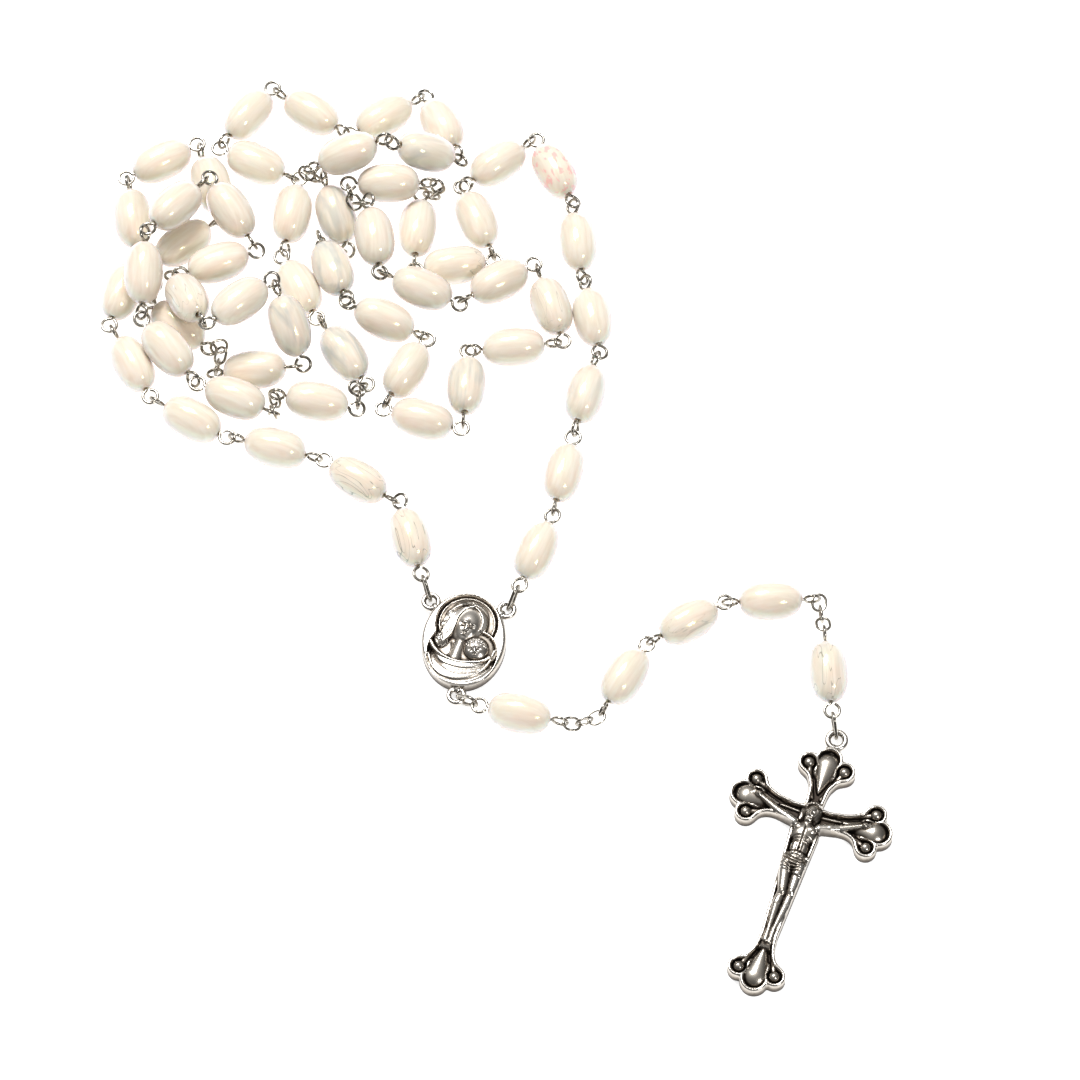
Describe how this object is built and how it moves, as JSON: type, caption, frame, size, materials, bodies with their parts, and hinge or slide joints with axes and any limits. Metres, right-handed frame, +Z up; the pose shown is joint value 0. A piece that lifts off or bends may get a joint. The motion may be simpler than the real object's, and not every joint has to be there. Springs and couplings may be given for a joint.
{
  "type": "rosary",
  "caption": "Five-decade rosary lying in a loose heap: oval shell beads on wire eye pins, oval centre medal and budded crucifix on a link-chain pendant.",
  "frame": {"origin": "on the table under the middle of the whole laid-out rosary", "axes": "+Z up from the table, +Y from the crucifix towards the heaped loop, +X to the right when the crucifix is nearest"},
  "size_m": [0.1198, 0.153, 0.0146],
  "materials": {
    "pearl": "polished",
    "silver_wire": "gloss",
    "antique_silver": "satin"
  },
  "bodies": {
    "strung_loop": {"decade_1_eye_pins": "silver_wire", "decade_2_eye_pins": "silver_wire", "decade_3_eye_pins": "silver_wire", "decade_4_eye_pins": "silver_wire", "decade_5_eye_pins": "silver_wire", "our_father_eye_pins": "silver_wire", "connector_chain_1": "silver_wire", "connector_chain_2": "silver_wire", "connector_chain_3": "silver_wire", "connector_chain_4": "silver_wire", "decade_2_beads": "pearl", "decade_3_beads": "pearl", "decade_4_beads": "pearl", "medal_ring_left": "silver_wire", "medal_ring_right": "silver_wire"},
    "centre_medal": {"centre_medal": "antique_silver"},
    "medal_ring_lower": {"medal_ring_lower": "silver_wire"},
    "pendant_pin_1": {"pendant_pin_1": "silver_wire"},
    "pendant_link_1": {"pendant_link_1": "silver_wire"},
    "pendant_link_2": {"pendant_link_2": "silver_wire"},
    "pendant_link_3": {"pendant_link_3": "silver_wire"},
    "pendant_pin_2": {"pendant_pin_2": "silver_wire"},
    "pendant_pin_3": {"pendant_pin_3": "silver_wire"},
    "pendant_pin_4": {"pendant_pin_4": "silver_wire"},
    "pendant_link_4": {"pendant_link_4": "silver_wire"},
    "pendant_link_5": {"pendant_link_5": "silver_wire"},
    "pendant_link_6": {"pendant_link_6": "silver_wire"},
    "pendant_pin_5": {"pendant_pin_5": "silver_wire"},
    "crucifix_ring": {"crucifix_ring": "silver_wire"},
    "crucifix": {"crucifix": "antique_silver"},
    "pendant_bead_1": {"pendant_bead_1": "pearl"},
    "pendant_bead_2": {"pendant_bead_2": "pearl"},
    "pendant_bead_3": {"pendant_bead_3": "pearl"},
    "pendant_bead_4": {"pendant_bead_4": "pearl"},
    "pendant_bead_5": {"pendant_bead_5": "pearl"},
    "decade_1_bead_01": {"decade_1_bead_01": "pearl"},
    "decade_1_bead_02": {"decade_1_bead_02": "pearl"},
    "decade_1_bead_03": {"decade_1_bead_03": "pearl"},
    "decade_1_bead_04": {"decade_1_bead_04": "pearl"},
    "decade_1_bead_05": {"decade_1_bead_05": "pearl"},
    "decade_1_bead_06": {"decade_1_bead_06": "pearl"},
    "decade_1_bead_07": {"decade_1_bead_07": "pearl"},
    "decade_1_bead_08": {"decade_1_bead_08": "pearl"},
    "decade_1_bead_09": {"decade_1_bead_09": "pearl"},
    "decade_1_bead_10": {"decade_1_bead_10": "pearl"},
    "decade_5_bead_01": {"decade_5_bead_01": "pearl"},
    "decade_5_bead_02": {"decade_5_bead_02": "pearl"},
    "decade_5_bead_03": {"decade_5_bead_03": "pearl"},
    "decade_5_bead_04": {"decade_5_bead_04": "pearl"},
    "decade_5_bead_05": {"decade_5_bead_05": "pearl"},
    "decade_5_bead_06": {"decade_5_bead_06": "pearl"},
    "decade_5_bead_07": {"decade_5_bead_07": "pearl"},
    "decade_5_bead_08": {"decade_5_bead_08": "pearl"},
    "decade_5_bead_09": {"decade_5_bead_09": "pearl"},
    "decade_5_bead_10": {"decade_5_bead_10": "pearl"},
    "our_father_bead_1": {"our_father_bead_1": "pearl"},
    "our_father_bead_2": {"our_father_bead_2": "pearl"},
    "our_father_bead_3": {"our_father_bead_3": "pearl"},
    "our_father_bead_4": {"our_father_bead_4": "pearl"}
  },
  "joints": [
    {"name": "medal_lift", "type": "hinge", "parent": "strung_loop", "child": "centre_medal", "pos_m": [-0.00292, -0.01185, 0.0011], "axis": [-0.9929, 0.1186, 0], "range_deg": [0, 40]},
    {"name": "medal_ring_lower_swing", "type": "hinge", "parent": "centre_medal", "child": "medal_ring_lower", "pos_m": [-0.00483, -0.02778, 0.0011], "axis": [0, 0, 1], "range_deg": [-35, 35]},
    {"name": "pendant_pin_1_swing", "type": "hinge", "parent": "medal_ring_lower", "child": "pendant_pin_1", "pos_m": [-0.00132, -0.03004, 0.00263], "axis": [0.0605, -0.0148, -0.9981], "range_deg": [-35, 35]},
    {"name": "pendant_link_1_swing", "type": "hinge", "parent": "pendant_pin_1", "child": "pendant_link_1", "pos_m": [0.01217, -0.03329, 0.00313], "axis": [0.2955, 0.0237, 0.955], "range_deg": [-35, 35]},
    {"name": "pendant_link_2_swing", "type": "hinge", "parent": "pendant_link_1", "child": "pendant_link_2", "pos_m": [0.01274, -0.03324, 0.00295], "axis": [-0.2955, -0.0237, -0.955], "range_deg": [-35, 35]},
    {"name": "pendant_link_3_swing", "type": "hinge", "parent": "pendant_link_2", "child": "pendant_link_3", "pos_m": [0.01584, -0.03216, 0.00259], "axis": [-0.0903, -0.0492, 0.9947], "range_deg": [-35, 35]},
    {"name": "pendant_pin_2_swing", "type": "hinge", "parent": "pendant_link_3", "child": "pendant_pin_2", "pos_m": [0.01636, -0.03187, 0.00265], "axis": [0.0903, 0.0492, -0.9947], "range_deg": [-35, 35]},
    {"name": "pendant_pin_3_swing", "type": "hinge", "parent": "pendant_pin_2", "child": "pendant_pin_3", "pos_m": [0.02366, -0.02019, 0.00311], "axis": [-0.0089, -0.0144, 0.9999], "range_deg": [-35, 35]},
    {"name": "pendant_pin_4_swing", "type": "hinge", "parent": "pendant_pin_3", "child": "pendant_pin_4", "pos_m": [0.03543, -0.0132, 0.00306], "axis": [0.0081, 0.0047, -1], "range_deg": [-35, 35]},
    {"name": "pendant_link_4_swing", "type": "hinge", "parent": "pendant_pin_4", "child": "pendant_link_4", "pos_m": [0.0497, -0.01272, 0.00254], "axis": [-0.0022, -0.1228, 0.9924], "range_deg": [-35, 35]},
    {"name": "pendant_link_5_swing", "type": "hinge", "parent": "pendant_link_4", "child": "pendant_link_5", "pos_m": [0.04969, -0.01331, 0.00247], "axis": [0.0022, 0.1228, -0.9924], "range_deg": [-35, 35]},
    {"name": "pendant_link_6_swing", "type": "hinge", "parent": "pendant_link_5", "child": "pendant_link_6", "pos_m": [0.05017, -0.01655, 0.00292], "axis": [-0.0407, 0.348, 0.9366], "range_deg": [-35, 35]},
    {"name": "pendant_pin_5_swing", "type": "hinge", "parent": "pendant_link_6", "child": "pendant_pin_5", "pos_m": [0.05024, -0.0171, 0.00313], "axis": [0.0407, -0.348, -0.9366], "range_deg": [-35, 35]},
    {"name": "crucifix_ring_swing", "type": "hinge", "parent": "pendant_pin_5", "child": "crucifix_ring", "pos_m": [0.05129, -0.03091, 0.00266], "axis": [0.0041, -0.0548, 0.9985], "range_deg": [-35, 35]},
    {"name": "crucifix_swing", "type": "hinge", "parent": "crucifix_ring", "child": "crucifix", "pos_m": [0.05193, -0.0351, 0.0011], "axis": [0, 0, -1], "range_deg": [-35, 35]},
    {"name": "pendant_bead_1_spin", "type": "hinge", "parent": "pendant_pin_1", "child": "pendant_bead_1", "pos_m": [0.00469, -0.03152, 0.00301], "axis": [0.9695, -0.2371, 0.0623], "continuous": true},
    {"name": "pendant_bead_2_spin", "type": "hinge", "parent": "pendant_pin_2", "child": "pendant_bead_2", "pos_m": [0.02041, -0.02547, 0.003], "axis": [0.5234, 0.8519, 0.0169], "continuous": true},
    {"name": "pendant_bead_3_spin", "type": "hinge", "parent": "pendant_pin_3", "child": "pendant_bead_3", "pos_m": [0.03006, -0.0163, 0.003], "axis": [0.8658, 0.5004, 0.0093], "continuous": true},
    {"name": "pendant_bead_4_spin", "type": "hinge", "parent": "pendant_pin_4", "child": "pendant_bead_4", "pos_m": [0.04244, -0.0129, 0.003], "axis": [0.998, 0.0564, -0.0279], "continuous": true},
    {"name": "pendant_bead_5_spin", "type": "hinge", "parent": "pendant_pin_5", "child": "pendant_bead_5", "pos_m": [0.05082, -0.02474, 0.003], "axis": [0.0748, -0.9957, -0.055], "continuous": true},
    {"name": "decade_1_bead_01_spin", "type": "hinge", "parent": "strung_loop", "child": "decade_1_bead_01", "pos_m": [-0.01184, -0.00236, 0.003], "axis": [-0.2632, 0.9633, 0.052], "continuous": true},
    {"name": "decade_1_bead_02_spin", "type": "hinge", "parent": "strung_loop", "child": "decade_1_bead_02", "pos_m": [-0.01989, 0.00744, 0.003], "axis": [-0.8415, 0.5402, -0.0033], "continuous": true},
    {"name": "decade_1_bead_03_spin", "type": "hinge", "parent": "strung_loop", "child": "decade_1_bead_03", "pos_m": [-0.0325, 0.01286, 0.003], "axis": [-0.9642, 0.2652, 0.0015], "continuous": true},
    {"name": "decade_1_bead_04_spin", "type": "hinge", "parent": "strung_loop", "child": "decade_1_bead_04", "pos_m": [-0.04532, 0.0177, 0.003], "axis": [-0.8695, 0.494, -0.0015], "continuous": true},
    {"name": "decade_1_bead_05_spin", "type": "hinge", "parent": "strung_loop", "child": "decade_1_bead_05", "pos_m": [-0.05467, 0.02716, 0.003], "axis": [-0.4654, 0.885, 0.0143], "continuous": true},
    {"name": "decade_1_bead_06_spin", "type": "hinge", "parent": "strung_loop", "child": "decade_1_bead_06", "pos_m": [-0.05666, 0.0397, 0.003], "axis": [0.2771, 0.9597, -0.0463], "continuous": true},
    {"name": "decade_1_bead_07_spin", "type": "hinge", "parent": "strung_loop", "child": "decade_1_bead_07", "pos_m": [-0.05527, 0.05256, 0.003], "axis": [-0.1368, 0.9895, 0.0465], "continuous": true},
    {"name": "decade_1_bead_08_spin", "type": "hinge", "parent": "strung_loop", "child": "decade_1_bead_08", "pos_m": [-0.05106, 0.06267, 0.00309], "axis": [0.8736, 0.4866, -0.0005], "continuous": true},
    {"name": "decade_1_bead_09_spin", "type": "hinge", "parent": "strung_loop", "child": "decade_1_bead_09", "pos_m": [-0.04323, 0.05854, 0.003], "axis": [0.2952, -0.9546, -0.0403], "continuous": true},
    {"name": "decade_1_bead_10_spin", "type": "hinge", "parent": "strung_loop", "child": "decade_1_bead_10", "pos_m": [-0.04732, 0.04831, 0.003], "axis": [-0.7808, -0.623, 0.0465], "continuous": true},
    {"name": "decade_5_bead_01_spin", "type": "hinge", "parent": "strung_loop", "child": "decade_5_bead_01", "pos_m": [-0.01119, 0.05088, 0.00301], "axis": [-0.0781, -0.995, 0.062], "continuous": true},
    {"name": "decade_5_bead_02_spin", "type": "hinge", "parent": "strung_loop", "child": "decade_5_bead_02", "pos_m": [-0.00544, 0.04426, 0.00316], "axis": [0.9864, 0.1568, -0.0487], "continuous": true},
    {"name": "decade_5_bead_03_spin", "type": "hinge", "parent": "strung_loop", "child": "decade_5_bead_03", "pos_m": [-0.00202, 0.05235, 0.003], "axis": [-0.3806, 0.9246, 0.0193], "continuous": true},
    {"name": "decade_5_bead_04_spin", "type": "hinge", "parent": "strung_loop", "child": "decade_5_bead_04", "pos_m": [0.00115, 0.06234, 0.003], "axis": [0.7902, 0.6126, -0.0156], "continuous": true},
    {"name": "decade_5_bead_05_spin", "type": "hinge", "parent": "strung_loop", "child": "decade_5_bead_05", "pos_m": [0.00996, 0.06102, 0.003], "axis": [0.4545, -0.8906, 0.0157], "continuous": true},
    {"name": "decade_5_bead_06_spin", "type": "hinge", "parent": "strung_loop", "child": "decade_5_bead_06", "pos_m": [0.01351, 0.04844, 0.003], "axis": [0.1136, -0.9934, -0.0178], "continuous": true},
    {"name": "decade_5_bead_07_spin", "type": "hinge", "parent": "strung_loop", "child": "decade_5_bead_07", "pos_m": [0.01577, 0.0353, 0.003], "axis": [0.1762, -0.9843, 0.014], "continuous": true},
    {"name": "decade_5_bead_08_spin", "type": "hinge", "parent": "strung_loop", "child": "decade_5_bead_08", "pos_m": [0.01464, 0.02208, 0.003], "axis": [-0.2541, -0.9671, -0.0106], "continuous": true},
    {"name": "decade_5_bead_09_spin", "type": "hinge", "parent": "strung_loop", "child": "decade_5_bead_09", "pos_m": [0.0113, 0.00862, 0.003], "axis": [-0.2332, -0.9723, 0.0128], "continuous": true},
    {"name": "decade_5_bead_10_spin", "type": "hinge", "parent": "strung_loop", "child": "decade_5_bead_10", "pos_m": [0.00711, -0.00452, 0.003], "axis": [-0.3991, -0.9156, -0.0488], "continuous": true},
    {"name": "our_father_bead_1_spin", "type": "hinge", "parent": "strung_loop", "child": "our_father_bead_1", "pos_m": [-0.04779, 0.03386, 0.003], "axis": [0.7704, -0.6372, -0.0239], "continuous": true},
    {"name": "our_father_bead_2_spin", "type": "hinge", "parent": "strung_loop", "child": "our_father_bead_2", "pos_m": [-0.02633, 0.0207, 0.00307], "axis": [0.9832, -0.1381, -0.119], "continuous": true},
    {"name": "our_father_bead_3_spin", "type": "hinge", "parent": "strung_loop", "child": "our_father_bead_3", "pos_m": [-0.02387, 0.05321, 0.00316], "axis": [0.3043, -0.9348, -0.1832], "continuous": true},
    {"name": "our_father_bead_4_spin", "type": "hinge", "parent": "strung_loop", "child": "our_father_bead_4", "pos_m": [-0.01567, 0.05678, 0.00669], "axis": [0.9998, 0.0188, -0.0106], "continuous": true}
  ]
}
